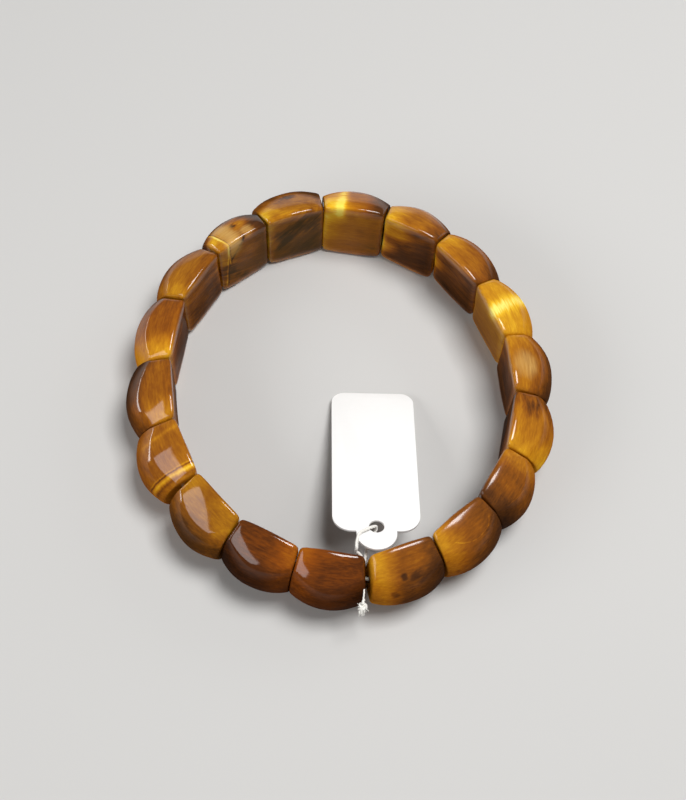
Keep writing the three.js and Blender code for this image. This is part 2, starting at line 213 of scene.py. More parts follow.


# How each stone looks, clockwise from bead_01. Places (along, outward, up) are in millimetres from
# the middle of its inner face, and levels run from 0, black, to 1, the brightest painted flash.
# faces: levels of the top, the inner face and the dome; the inner face and dome are darker partly in the
# stone's tone and partly as painted shade
# ends: what the first and the last end add to the level: painted light where it is above 0, painted shade
# where it is below 0
# streak, tilt: strength and slant of the layers
# bulge: how far the first and the last end bulge
# soft: how worn the edge of the inner face is
# rim: where the high polish begins to fade on the dome, measured outward from the crease
# polish: roughness, where it isn't the usual one
# dull, hue: share of dull fibre on the inner face, and a tint over the whole stone
# flash: the painted light band's place along, its slant, width, strength and lowest height
# spots, gold: place, size and strength of dark spots and golden patches; on the last bead the large spot at
# the first end is painted shade
# cream: place and size of pale patches: bleached stone, and on the sixth bead a painted sheen on the top
# lines: place, normal, width, reach, shade and lift of cracks and ridges; the light lines beside the last
# bead's cracks are painted highlights on their rims
# arcs: middle, radius, width and shade of curved cracks
STONES = [
    {"slot": "stone_dark", "faces": (0.58, 0.40, 0.34), "ends": (0.08, -0.10), "streak": 0.12, "tilt": -45,
     "rim": -0.6, "bulge": (0.0, 0.2), "dull": 0.3, "hue": (0.96, 1.0, 0.9),
     "gold": [(-4.6, 2.0, 4.0, 2.4, 0.16), (-4.6, 0.0, 0.0, 2.0, 0.14)],
     "spots": [(0.8, 0.0, 3.2, 2.2, 0.6), (-1.8, 0.0, 0.4, 2.0, 0.56), (0.3, 5.2, 4.3, 1.2, 0.4),
               (2.6, 0.0, 5.0, 1.4, 0.3), (2.0, 0.0, -4.0, 2.4, 0.2)]},
    {"slot": "stone_gold", "faces": (0.56, 0.57, 0.38), "ends": (0.20, -0.24), "streak": 0.07, "tilt": 0,
     "rim": -0.6, "bulge": (0.1, 0.0), "dull": 0.35, "hue": (1.02, 0.95, 0.6),
     "flash": (-2.3, 0.05, 0.75, 0.44, 3.2),
     "gold": [(-2.6, 0.4, 5.2, 3.4, 0.16), (-4.4, 0.0, 0.0, 3.0, 0.08)],
     "spots": [(-0.6, 0.0, 4.4, 1.2, 0.22), (1.2, 0.0, 0.6, 1.2, 0.14), (-4.9, 0.0, 5.4, 1.2, 0.3)]},
    {"slot": "stone_brown", "faces": (0.60, 0.34, 0.46), "ends": (0.15, -0.14), "streak": 0.10, "tilt": -20,
     "rim": -0.2, "polish": 0.12, "soft": 0.12,
     "gold": [(-2.6, 0.0, 3.6, 3.4, 0.26), (-4.4, 0.0, -2.0, 3.0, 0.22)]},
    {"slot": "stone_brown", "faces": (0.58, 0.34, 0.38), "ends": (0.17, -0.12), "streak": 0.10, "tilt": 10,
     "rim": -0.6, "polish": 0.12, "soft": 0.12, "gold": [(-4.6, 0.0, 1.0, 2.6, 0.16)]},
    {"slot": "stone_gold", "faces": (0.73, 0.56, 0.64), "ends": (-0.02, 0.02), "streak": 0.06, "tilt": 0,
     "rim": -0.6, "dull": 0.4, "flash": (0.7, -0.2, 1.2, 0.32, 2.5)},
    # The sixth bead's pale patch on its top is a painted sheen, a broad reflection painted into the colour
    {"slot": "stone_brown", "faces": (0.58, 0.30, 0.28), "ends": (0.12, 0.00), "streak": 0.09, "tilt": 10,
     "rim": -0.6, "cream": [(0.6, 2.6, 5.4, 3.0)]},
    {"slot": "stone_amber", "faces": (0.55, 0.28, 0.55), "ends": (-0.06, 0.15), "streak": 0.12, "tilt": 5,
     "rim": -0.6, "spots": [(-2.9, 2.4, 5.4, 1.8, 0.3)]},
    {"slot": "stone_brown", "faces": (0.48, 0.30, 0.36), "ends": (0.16, -0.12), "streak": 0.06, "tilt": 70,
     "rim": -0.6, "polish": 0.19, "soft": 0.28,
     "lines": [((1.4, 5.2, 4.2), (0.25, 0.9, -0.3), 0.06, 2.2, 0.09, 0.0)]},
    {"slot": "stone_amber", "faces": (0.49, 0.33, 0.32), "ends": (-0.06, 0.20), "streak": 0.05, "tilt": 20,
     "rim": -0.6, "polish": 0.19, "soft": 0.28,
     "spots": [(4.1, 6.0, 1.2, 0.5, 0.3)], "arcs": [((-0.6, 0.6, 5.2), 4.3, 0.08, 0.16)]},
    {"slot": "stone_amber", "faces": (0.46, 0.33, 0.31), "ends": (-0.10, 0.28), "streak": 0.06, "tilt": 20,
     "rim": -0.6, "polish": 0.16, "bulge": (0.0, 0.75),
     "spots": [(1.1, 4.6, 4.7, 0.45, 0.4), (-0.9, 5.0, 4.4, 1.1, 0.26), (2.95, 6.0, 2.4, 0.6, 0.26)]},
    {"slot": "stone_red", "faces": (0.41, 0.27, 0.24), "ends": (-0.04, 0.12), "streak": 0.06, "tilt": 5,
     "rim": -0.2, "bulge": (0.4, 0.0), "hue": (1.0, 0.80, 0.62)},
    {"slot": "stone_red", "faces": (0.39, 0.27, 0.15), "ends": (0.18, -0.02), "streak": 0.06, "tilt": 15,
     "rim": -0.2, "hue": (1.0, 0.82, 0.64)},
    {"slot": "stone_gold", "faces": (0.53, 0.40, 0.28), "ends": (0.10, 0.12), "streak": 0.08, "tilt": 20,
     "bulge": (0.0, 0.1), "hue": (0.94, 1.02, 0.85)},
    {"slot": "stone_gold", "faces": (0.55, 0.40, 0.47), "ends": (0.08, 0.00), "streak": 0.06, "tilt": 20,
     "bulge": (0.1, 0.0),
     "lines": [((-3.05, 3.4, 5.2), (1, 0, 0), 0.10, 7.0, 0.10, 1.0),
               ((-3.3, 3.4, 5.2), (1, 0, 0), 0.10, 7.0, -0.18, -1.5),
               ((-3.8, 3.4, 5.2), (1, 0, 0), 0.34, 7.0, 0.22, 2.0),
               ((-4.45, 3.4, 5.2), (1, 0, 0), 0.22, 7.0, -0.1, -1.0),
               ((2.65, 3.4, 5.2), (0.9, 0.2, 0.3), 0.3, 4.5, 0.08, 0.0)]},
    {"slot": "stone_amber", "faces": (0.53, 0.36, 0.22), "ends": (0.15, -0.03), "streak": 0.08, "tilt": 10,
     "rim": 0.2},
    {"slot": "stone_amber", "faces": (0.54, 0.34, 0.47), "ends": (0.24, -0.08), "streak": 0.07, "tilt": 10,
     "hue": (1.0, 0.93, 0.85)},
    {"slot": "stone_brown", "faces": (0.55, 0.38, 0.38), "ends": (0.12, -0.04), "streak": 0.10, "tilt": 15,
     "rim": -0.5, "hue": (0.97, 1.0, 0.92)},
    {"slot": "stone_cream", "faces": (0.54, 0.44, 0.14), "ends": (0.16, -0.26), "streak": 0.10, "tilt": 20,
     "rim": -0.6, "dull": 0.3,
     # The large spot at the first end of the inner face is painted shade; the other spots are a pit and
     # dark stone
     "spots": [(-0.06, 3.42, 5.28, 0.8, 0.9), (-2.7, 0.0, -1.3, 0.9, 0.34), (-0.5, 0.0, -4.4, 0.9, 0.4),
               (-1.6, 0.0, -3.2, 0.8, 0.3), (-5.0, 0.0, -1.0, 3.0, 0.5)],
     "gold": [(0.9, 3.0, 5.3, 1.4, 0.14), (-4.2, 3.0, 4.4, 1.6, 0.12), (-2.2, 0.2, 4.9, 1.7, 0.16)],
     "cream": [(-2.2, 4.6, 4.4, 2.4), (-2.0, 2.6, 5.4, 2.0), (-1.9, 0.4, 6.0, 2.0), (-2.1, 0.0, 4.4, 2.3),
               (0.9, 1.2, 6.2, 1.6), (-1.5, 3.6, 5.0, 2.1), (-1.5, 1.4, 5.9, 2.1), (-1.6, 0.0, 5.4, 1.7)],
     # The light lines beside the cracks are raised lips, painted brighter as highlights on the crack rims
     "lines": [((-2.95, 2.0, 5.2), (1, 0.13, 0), 0.1, 5.2, -0.4, -2.0),
               ((-3.22, 2.0, 5.2), (1, 0.13, 0), 0.18, 5.2, 0.3, 1.0),
               ((-3.5, 0.0, 0.5), (1, 0, -0.1), 0.14, 6.4, 0.22, 1.0),
               ((-3.2, 0.0, 0.5), (1, 0, -0.1), 0.1, 6.4, -0.24, -1.0),
               ((-1.3, 0.0, 4.2), (0.85, 0, -0.53), 0.18, 3.0, -0.5, -2.0)]},
]

# Grid places of a bead's cage, from -1 to 1: close rows beside an edge keep its rounding small
ALONG_ROWS = [-1, -0.72, -0.48, -0.24, 0, 0.24, 0.48, 0.72, 1]
OUTWARD_ROWS = [-1, -0.52, -0.22, 0.04, 0.28, 0.52, 0.72, 0.88, 1]
UPWARD_ROWS = [-1, -0.72, -0.49, -0.24, 0, 0.24, 0.49, 0.72, 1]
# How far the rows next to the inner face move outward where its edge is worn soft
SOFTER_ROWS = [1, 0.75, 0.4]

# Which faces of a CAD bead count as one flat face, and which as its ends, as cosines between normals
SAME_FACE = 0.9995
END_FACE = 0.97
# How far a dome stands out past the flat facets of its CAD bead
DOME_ROUNDING = 0.07 * MM

# Hand-cut wander: its size, its share (along, outward, up) and the step from bead to bead
WANDER_SIZE = 4.5 * MM
WANDER_SHARES = (0.35, 1, 1)
WANDER_STEP = Vector((7.1, 3.3, 5.9))
# Share by which a bulge has faded at the top and bottom of an end, and how late it does so
BULGE_FADE = 0.9
BULGE_POWER = 3

# Streaks as sizes (along, outward, up) in millimetres, fibre and flecks as repeats per millimetre, and how
# far all of them shift from bead to bead
BROAD_STREAK = (8.0, 3.5, 2.6)
NARROW_STREAK = (5.0, 1.1, 0.8)
FIBRE_GRAIN = (0.35, 3.6, 3.6)
FLECK_GRAIN = (0.9, 2.4, 2.4)
GRAIN_STEP = Vector((17.3, 9.1, 5.7))
# Where the inner face ends outward and upward and where the dome begins at the crease, in millimetres
INNER_EDGE = (0.0, 0.6)
INNER_TOP = (4.4, 6.3)
DOME_EDGE = (-1.5, 3.2)
# Where the high polish usually begins to fade past the crease, and over what width
USUAL_RIM = 0.5
RIM_WIDTH = 1.8
# The level that each colour of the stone stands for; the flash colour is a painted highlight
COLOUR_LEVELS = {
    "black": 0.0, "umber": 0.18, "brown": 0.36, "amber": 0.5,
    "honey": 0.62, "gold": 0.74, "yellow": 0.86, "flash": 1.0,
}

# The thread's way from the knot over the upper elastic, through the tag's hole and back, in millimetres
THREAD_ROUTE = [
    (6.10, -34.60, 9.30), (6.12, -33.90, 9.56), (6.14, -33.00, 9.66), (6.06, -32.10, 9.66),
    (5.94, -31.10, 9.66), (5.84, -30.10, 9.70), (5.74, -29.10, 9.90), (5.50, -28.20, 10.24),
    (4.85, -27.55, 10.66), (4.40, -27.45, 11.20), (4.40, -27.05, 12.40), (4.44, -25.73, 11.52),
    (4.74, -24.54, 11.19), (6.15, -23.49, 10.80), (7.01, -22.99, 9.94), (6.96, -23.56, 8.98),
    (6.11, -25.30, 8.85), (5.80, -28.05, 8.66), (5.80, -29.60, 7.24), (6.00, -30.77, 6.53),
    (6.26, -32.34, 6.72), (6.36, -33.62, 7.70),
]
# Parts between two points of the route, and places along the whole thread
ROUTE_PARTS = 24
THREAD_STEPS = 260
# The knot's middle in millimetres, the steps of its winding and of a loose fibre, and the fibres' seed
KNOT_PLACE = (6.14, -34.80, 8.55)
KNOT_STEPS = 160
FIBRE_STEPS = 8
FIBRE_SEED = 4
# Where along y the squeeze between two beads starts, is full, eases and ends, in millimetres
PINCH_FROM = (-34.5, -34.0, -29.0, -28.2)
# Place of a ply from the thread's middle and its thickness, as shares of the thread's radius
PLY_OFFSET = 0.52
PLY_RADIUS = 0.5

# Place, width and depth of each lamp, in metres; all of them face the bracelet
LAMPS = {
    "key": ((0.14, 0.05, 0.52), 0.22, 0.22),
    "window": ((-0.36, -0.22, 0.2586), 0.46, 0.19),
    "side": ((-0.53, 0.13, 0.03), 0.40, 0.03),
    "fill": ((0.335, 0.26, 0.268), 0.26, 0.20),
}


class Wire:
    """A value on its way through a finish; sums with it add Math nodes"""

    def __init__(self, finish, socket):
        self.finish = finish
        self.socket = socket

    def __add__(self, other):
        return self.finish.math("ADD", self, other)

    __radd__ = __add__

    def __sub__(self, other):
        return self.finish.math("SUBTRACT", self, other)

    def __rsub__(self, other):
        return self.finish.math("SUBTRACT", other, self)

    def __mul__(self, other):
        return self.finish.math("MULTIPLY", self, other)

    __rmul__ = __mul__

    def __truediv__(self, other):
        return self.finish.math("DIVIDE", self, other)

    def __rtruediv__(self, other):
        return self.finish.math("DIVIDE", other, self)

    def __abs__(self):
        return self.finish.math("ABSOLUTE", self)


class Finish:
    """A material made node by node"""

    def __init__(self, name):
        self.material = bpy.data.materials.new(name)
        self.material.use_nodes = True
        self.tree = self.material.node_tree
        self.tree.nodes.clear()

    def node(self, kind, settings=None, inputs=None, output=0):
        made = self.tree.nodes.new(kind)
        for key, value in (settings or {}).items():
            if key == "stops":
                self.set_stops(made.color_ramp.elements, value)
            else:
                setattr(made, key, value)
        for key, value in (inputs or {}).items():
            if isinstance(value, Wire):
                self.tree.links.new(value.socket, made.inputs[key])
            else:
                made.inputs[key].default_value = value
        return Wire(self, made.outputs[output])

    @staticmethod
    def set_stops(elements, stops):
        while len(elements) < len(stops):
            elements.new(1.0)
        for element, (position, colour) in zip(elements, stops):
            element.position = position
            element.color = colour

    def place(self):
        return self.node("ShaderNodeTexCoord", output="Object")

    def math(self, operation, *values):
        return self.node("ShaderNodeMath", {"operation": operation}, dict(enumerate(values)))

    def smooth(self, value, low, high):
        ends = {"Value": value, "From Min": low, "From Max": high}
        return self.node("ShaderNodeMapRange", {"interpolation_type": "SMOOTHSTEP"}, ends)

    def bell(self, value, width):
        share = value / width
        return self.math("EXPONENT", 0 - share * share)

    def mix(self, factor, first, second, way="MIX"):
        settings = {"data_type": "RGBA", "blend_type": way, "clamp_factor": True}
        return self.node("ShaderNodeMix", settings, {0: factor, 6: first, 7: second}, 2)

    def placed(self, vector, location, scale=(1, 1, 1), rotation=(0, 0, 0), way="POINT"):
        inputs = {"Vector": vector, "Location": location, "Rotation": rotation, "Scale": scale}
        return self.node("ShaderNodeMapping", {"vector_type": way}, inputs)

    def noise(self, vector, scale, detail=2.0, roughness=0.5):
        inputs = {"Vector": vector, "Scale": scale, "Detail": detail, "Roughness": roughness}
        return self.node("ShaderNodeTexNoise", None, inputs)

    def parts(self, vector):
        split = self.node("ShaderNodeSeparateXYZ", None, {"Vector": vector}).socket.node
        return [Wire(self, socket) for socket in split.outputs]

    def spread(self, vector, point):
        inputs = {0: vector, 1: point}
        return self.node("ShaderNodeVectorMath", {"operation": "DISTANCE"}, inputs, "Value")

    def bump(self, height, strength, millimetres):
        inputs = {"Strength": strength, "Distance": millimetres * MM, "Height": height}
        return self.node("ShaderNodeBump", None, inputs)

    def surface(self, **inputs):
        named = {key.replace("_", " "): value for key, value in inputs.items()}
        shader = self.node("ShaderNodeBsdfPrincipled", None, named)
        out = self.tree.nodes.new("ShaderNodeOutputMaterial")
        self.tree.links.new(shader.socket, out.inputs["Surface"])
        return self.material


def rgba(colour):
    return (*colour, 1.0)


def deselect():
    if bpy.context.object and bpy.context.object.mode != "OBJECT":
        bpy.ops.object.mode_set(mode="OBJECT")
    bpy.ops.object.select_all(action="DESELECT")


def choose(thing):
    deselect()
    thing.select_set(True)
    bpy.context.view_layer.objects.active = thing


def copied(thing, name):
    twin = thing.copy()
    twin.data = thing.data.copy()
    twin.name = twin.data.name = name
    bpy.context.scene.collection.objects.link(twin)
    return twin


def apply_modifier(thing, kind, **settings):
    choose(thing)
    modifier = thing.modifiers.new(kind.title(), kind)
    for key, value in settings.items():
        setattr(modifier, key, value)
    bpy.ops.object.modifier_apply(modifier=modifier.name)


def settle(thing, name, slot, material, nodes):
    """Names a finished piece, gives it its material and puts it in the place of its CAD nodes."""
    thing.name = thing.data.name = name
    thing.data.materials.clear()
    thing.data.materials.append(material)
    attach(thing, "root")
    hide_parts(*nodes)


def corners_of(mesh):
    flat = np.empty(len(mesh.vertices) * 3)
    mesh.vertices.foreach_get("co", flat)
    return flat.reshape(-1, 3)


def put_corners(mesh, places):
    mesh.vertices.foreach_set("co", np.asarray(places, float).ravel())
    mesh.update()


class Seat:
    """Where a CAD bead stands and how it is cut, read from its node: x along, y outward, z up"""

    def __init__(self, node):
        mesh = frame["nodes"][node].data
        normals = np.empty(len(mesh.polygons) * 3)
        mesh.polygons.foreach_get("normal", normals)
        normals = normals.reshape(-1, 3)
        areas = np.empty(len(mesh.polygons))
        mesh.polygons.foreach_get("area", areas)
        biggest = np.argsort(-areas)[:40]
        face = max(biggest, key=lambda i: areas[normals @ normals[i] > SAME_FACE].sum())
        flat = normals @ normals[face] > SAME_FACE
        outward = -Vector((normals[flat] * areas[flat][:, None]).sum(0)).normalized()
        up = (Vector((0, 0, 1)) - outward * outward.z).normalized()
        along = outward.cross(up)
        self.axes = np.array([along, outward, up])
        local = corners_of(mesh) @ self.axes.T
        low, high = local.min(0), local.max(0)
        middle = np.array([(low[0] + high[0]) / 2, low[1], (low[2] + high[2]) / 2])
        self.origin = Vector(middle @ self.axes)
        self.turn = Matrix((along, outward, up)).transposed().to_euler()
        local -= middle
        self.depth = local[:, 1].max() + DOME_ROUNDING
        self.half_height = local[:, 2].max()
        self.ends = [self.end_line(mesh, normals, local, along * side, side) for side in (-1, 1)]

    @staticmethod
    def end_line(mesh, normals, local, direction, side):
        """How far the flat end reaches, as a line over the depth."""
        faces = np.nonzero(normals @ np.array(direction) > END_FACE)[0]
        used = sorted({corner for face in faces for corner in mesh.polygons[face].vertices})
        return np.polyfit(local[used, 1], local[used, 0] * side, 1)

    def to_world(self, local):
        return local @ self.axes + np.array(self.origin)

    def matrix(self):
        return Matrix.Translation(self.origin) @ self.turn.to_matrix().to_4x4()


def cut_stone(blank, seat, number, cut, look):
    """A copy of the blank, cut to the bead that stands in the seat."""
    stone = copied(blank, "stone")
    grid = corners_of(stone.data)
    steps = np.linspace(-1, 1, len(ALONG_ROWS))
    rows = np.array([ALONG_ROWS, OUTWARD_ROWS, UPWARD_ROWS])
    rows[1, 1:4] += np.array(SOFTER_ROWS) * look.get("soft", 0.0)
    along, outward, up = (np.interp(grid[:, axis], steps, rows[axis]) for axis in range(3))
    bend = along**2
    share = (outward + 1) / 2
    crease = cut.crease_depth - cut.crease_fall * bend
    crown = seat.depth - cut.crown_fall * bend
    depth = share * (crease + (crown - crease) * (1 - up**2))
    half = cut.height / 2 - cut.barrel * bend - share**cut.side_camber * crease * math.tan(cut.side_slope)
    first, last = look.get("bulge", (0.0, 0.0))
    bulge = np.where(along < 0, first, last) * MM * (1 - BULGE_FADE * abs(up) ** BULGE_POWER)
    ends = [np.polyval(line, depth) for line in seat.ends]
    reach = np.where(along < 0, *ends) + cut.closing + bulge
    places = np.stack([along * reach, depth, up * half], 1)
    for place in places:
        wander = noise.noise_vector(Vector(place) / WANDER_SIZE + WANDER_STEP * number)
        place += np.array(wander) * cut.unevenness * WANDER_SHARES
    put_corners(stone.data, places)
    apply_modifier(stone, "SUBSURF", levels=2, render_levels=2)
    places = corners_of(stone.data)
    places[:, 1] -= places[:, 1].min()
    places[:, 2] -= (places[:, 2].min() + places[:, 2].max()) / 2
    places[:, 2] *= seat.half_height / places[:, 2].max()
    put_corners(stone.data, seat.to_world(places))
    return stone


class TigerEye(Finish):
    """Silky layered stone, coloured in the bead's own directions, in millimetres"""

    def __init__(self, number, seat, look, stone):
        super().__init__(f"tiger_eye_{number:02d}")
        self.look = look
        self.stone = stone
        self.local = self.placed(self.place(), seat.origin, (MM, MM, MM), seat.turn, "TEXTURE")
        self.along, self.outward, self.up = self.parts(self.local)
        self.end_share = self.along / ((seat.ends[0][1] + seat.ends[1][1]) / 2 / MM)
        bend = self.end_share * self.end_share
        self.past_crease = self.outward - (stone.crease_depth / MM - stone.crease_fall / MM * bend)
        self.on_dome = self.smooth(self.past_crease, *DOME_EDGE)
        flat = 1 - self.smooth(self.outward, *INNER_EDGE)
        self.on_inner = flat * (1 - self.smooth(abs(self.up), *INNER_TOP))
        self.grow(GRAIN_STEP * number)

    def grow(self, shift):
        """Slow wander, streaks along the layers, and fine fibre and flecks along the bead."""
        turn = (0, math.radians(self.look["tilt"]), 0)
        broad = self.placed(self.local, shift, BROAD_STREAK, turn, "TEXTURE")
        narrow = self.placed(self.local, shift, NARROW_STREAK, turn, "TEXTURE")
        self.wander = self.noise(self.placed(self.local, shift), 0.2, 2.0) - 0.5
        self.broad = self.noise(broad, 1.0, 2.0) - 0.5
        self.narrow = self.noise(narrow, 1.0, 3.0, 0.6) - 0.5
        self.fibre = self.noise(self.placed(self.local, shift, FIBRE_GRAIN), 1.0, 3.0, 0.6) - 0.5
        self.flecks = self.noise(self.placed(self.local, shift, FLECK_GRAIN), 1.3, 2.0, 0.5) - 0.5

    def faces(self):
        """Level of the top, the inner face and the dome, with streaks and fibre; the lower levels of the
        inner face and dome are partly painted shade.
        """
        top, inner, dome = self.look["faces"]
        streak = self.look["streak"]
        level = self.on_inner * (inner - top) + self.on_dome * (dome - top) + top
        level = level + self.broad * (streak * 3.2) + self.narrow * (streak * 1.6 + 0.05)
        return level + self.fibre * 0.16 + self.flecks * 0.12

    def inner_light(self):
        """Painted shade on the inner face: darker towards the bottom and lighter towards the top; it is
        also lighter beside the ends.
        """
        beside_ends = self.smooth(abs(self.end_share), 0.72, 1.0) * 0.1
        towards_top = self.smooth(self.up, -6.0, 6.0) * 0.14
        return self.on_inner * (beside_ends + towards_top - 0.08)

    def end_light(self):
        """Painted light that gathers at an end where its strength is above 0, painted shade where it is
        below 0.
        """
        for side, strength in zip((-1, 1), self.look["ends"]):
            near = self.smooth(self.end_share * side + self.wander * 0.4, 0.1, 1.05)
            yield near * strength * (1 - self.on_inner * 0.6)

    def flash(self):
        """The painted band of light across the fibre: a sheen painted into the colour at a fixed place on
        the stone.
        """
        if "flash" in self.look:
            centre, slant, width, strength, lowest = self.look["flash"]
            band = self.bell(self.along - centre - self.outward * slant + self.wander * 0.8, width)
            silk = 0.8 + self.fibre * 1.2
            yield band * silk * self.smooth(self.up + self.on_dome * 6.0, lowest, 6.0) * strength

    def spots(self):
        """Dark spots with ragged edges; on the last bead one of them is painted shade."""
        for *spot, size, strength in self.look.get("spots", []):
            ragged = self.wander * (size * 2.0) + self.narrow * (size * 2.4)
            away = self.spread(self.local, spot) + ragged
            yield (1 - self.smooth(away, size * 0.1, size * 1.4)) * (strength * -0.5)

    def golden(self):
        """Golden patches."""
        for *spot, size, strength in self.look.get("gold", []):
            away = self.spread(self.local, spot) + self.wander * 1.5
            yield (1 - self.smooth(away, size * 0.3, size * 1.2)) * strength

    def arcs(self):
        """Curved cracks on the top, broken into short stretches."""
        for middle, radius, width, shade in self.look.get("arcs", []):
            mark = self.bell(self.spread(self.local, middle) - radius + self.wander * 1.2, width)
            yield mark * shade * self.smooth(self.outward, 3.0, 3.6) * (0.6 + self.flecks * 2.0)

    def lines(self):
        """Cracks and ridges, each in a plane and ending at some distance from its middle."""
        for point, normal, width, reach, shade, lift in self.look.get("lines", []):
            offset = self.node("ShaderNodeVectorMath", {"operation": "SUBTRACT"}, {0: self.local, 1: point})
            dot = {0: offset, 1: normal}
            off = self.node("ShaderNodeVectorMath", {"operation": "DOT_PRODUCT"}, dot, "Value")
            within = 1 - self.smooth(self.spread(self.local, point), reach * 0.7, reach)
            mark = self.bell(off + self.wander * 0.5 + self.narrow * 0.25, width) * within
            yield mark * shade, mark * lift

    def colour(self, level):
        """From level to colour, with bleached patches and painted sheen, dull fibre and the stone's own
        tint.
        """
        stops = [(position, rgba(getattr(self.stone, key))) for key, position in COLOUR_LEVELS.items()]
        colour = self.node("ShaderNodeValToRGB", {"stops": stops}, {"Fac": level})
        # Pale patches: bleached stone, and on the sixth bead a painted sheen
        for *spot, size in self.look.get("cream", []):
            away = self.spread(self.local, spot) + self.wander * 1.5 + self.narrow * 1.2
            near = 1 - self.smooth(away, size * 0.3, size)
            colour = self.mix(near * (0.6 + self.fibre), colour, rgba(self.stone.cream))
        if "dull" in self.look:
            colour = self.mix(self.on_inner * self.look["dull"], colour, rgba(self.stone.dull))
        if "hue" in self.look:
            colour = self.mix(1.0, colour, rgba(self.look["hue"]), "MULTIPLY")
        return colour

    def polished(self):
        """The material; its polish lies on the top and fades on the inner face and the dome."""
        level = self.faces() + self.inner_light()
        for part in (*self.end_light(), *self.flash(), *self.spots(), *self.golden(), *self.arcs()):
            level = level + part
        relief = self.fibre + self.flecks
        for shade, lift in self.lines():
            level = level + shade
            relief = relief + lift
        rim = self.look.get("rim", USUAL_RIM)
        past_rim = self.smooth(self.past_crease, rim, rim + RIM_WIDTH)
        return self.surface(
            Base_Color=self.colour(level), Roughness=0.4 + self.fibre * 0.3, Specular_IOR_Level=0.0,
            Normal=self.bump(relief, 0.05, 0.1), Coat_Weight=1 - self.on_inner * 0.93 - past_rim * 0.96,
            Coat_Roughness=self.look.get("polish", self.stone.polish), Coat_IOR=1.5,
        )


class BRACELET_OT_beads(bpy.types.Operator):
    """Cut, drill and polish the eighteen tiger's eye beads"""

    bl_idname = "bracelet.beads"
    bl_label = "Tiger's eye beads"

    def execute(self, context):
        cut = context.scene.bracelet_stone
        noise.seed_set(cut.seed)
        blank = self.blank()
        drill = self.drill(cut)
        for number, node in enumerate(BEAD_NODES, 1):
            seat = Seat(node)
            look = STONES[number - 1]
            stone = cut_stone(blank, seat, number, cut, look)
            drill.matrix_world = seat.matrix()
            apply_modifier(stone, "BOOLEAN", operation="DIFFERENCE", object=drill, solver="EXACT")
            bpy.ops.object.shade_smooth_by_angle(angle=math.radians(40))
            material = TigerEye(number, seat, look, cut).polished()
            settle(stone, f"stone_{number:02d}", look["slot"], material, [node])
        for spare in (blank, drill):
            bpy.data.objects.remove(spare)
        return {"FINISHED"}

    @staticmethod
    def blank():
        deselect()
        bpy.ops.mesh.primitive_cube_add(size=2)
        bpy.ops.object.mode_set(mode="EDIT")
        bpy.ops.mesh.select_all(action="SELECT")
        bpy.ops.mesh.subdivide(number_cuts=len(ALONG_ROWS) - 2)
        bpy.ops.object.mode_set(mode="OBJECT")
        return bpy.context.object

    @staticmethod
    def drill(cut):
        deselect()
        for side in (-1, 1):
            bpy.ops.mesh.primitive_cylinder_add(
                vertices=24, radius=cut.bore_radius, depth=20 * MM, rotation=(0, math.pi / 2, 0),
                location=(0, cut.bore_depth, side * cut.bore_spacing / 2),
            )
            bpy.ops.object.transform_apply(location=True, rotation=True, scale=True)
        first = bpy.context.object
        for other in [o for o in bpy.data.objects if o.name.startswith("Cylinder")]:
            other.select_set(True)
        bpy.context.view_layer.objects.active = first
        bpy.ops.object.join()
        return first


class BRACELET_OT_elastics(bpy.types.Operator):
    """Round the two elastics that hold the beads"""

    bl_idname = "bracelet.elastics"
    bl_label = "Elastics"

    def execute(self, context):
        size = context.scene.bracelet_thread
        f = Finish("stretch_cord")
        strands = f.noise(f.placed(f.place(), (0, 0, 0), (1500, 1500, 5000)), 1.0, 2.0)
        colour = f.mix(strands, rgba(size.elastic_shade), rgba(size.elastic))
        material = f.surface(Base_Color=colour, Roughness=0.45, Normal=f.bump(strands, 0.3, 0.1))
        for node in ELASTIC_NODES:
            cord = copied(frame["nodes"][node], node)
            choose(cord)
            bpy.ops.object.mode_set(mode="EDIT")
            bpy.ops.mesh.select_all(action="SELECT")
            bpy.ops.mesh.remove_doubles(threshold=0.01 * MM)
            bpy.ops.object.mode_set(mode="OBJECT")
            bpy.ops.object.shade_smooth_by_angle(angle=math.radians(70))
            # The copy is a piece of its own, so it drops the CAD node's marks
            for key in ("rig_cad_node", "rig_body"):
                del cord[key]
            settle(cord, node.replace("elastic", "stretch_cord"), "elastic", material, [node])
        return {"FINISHED"}


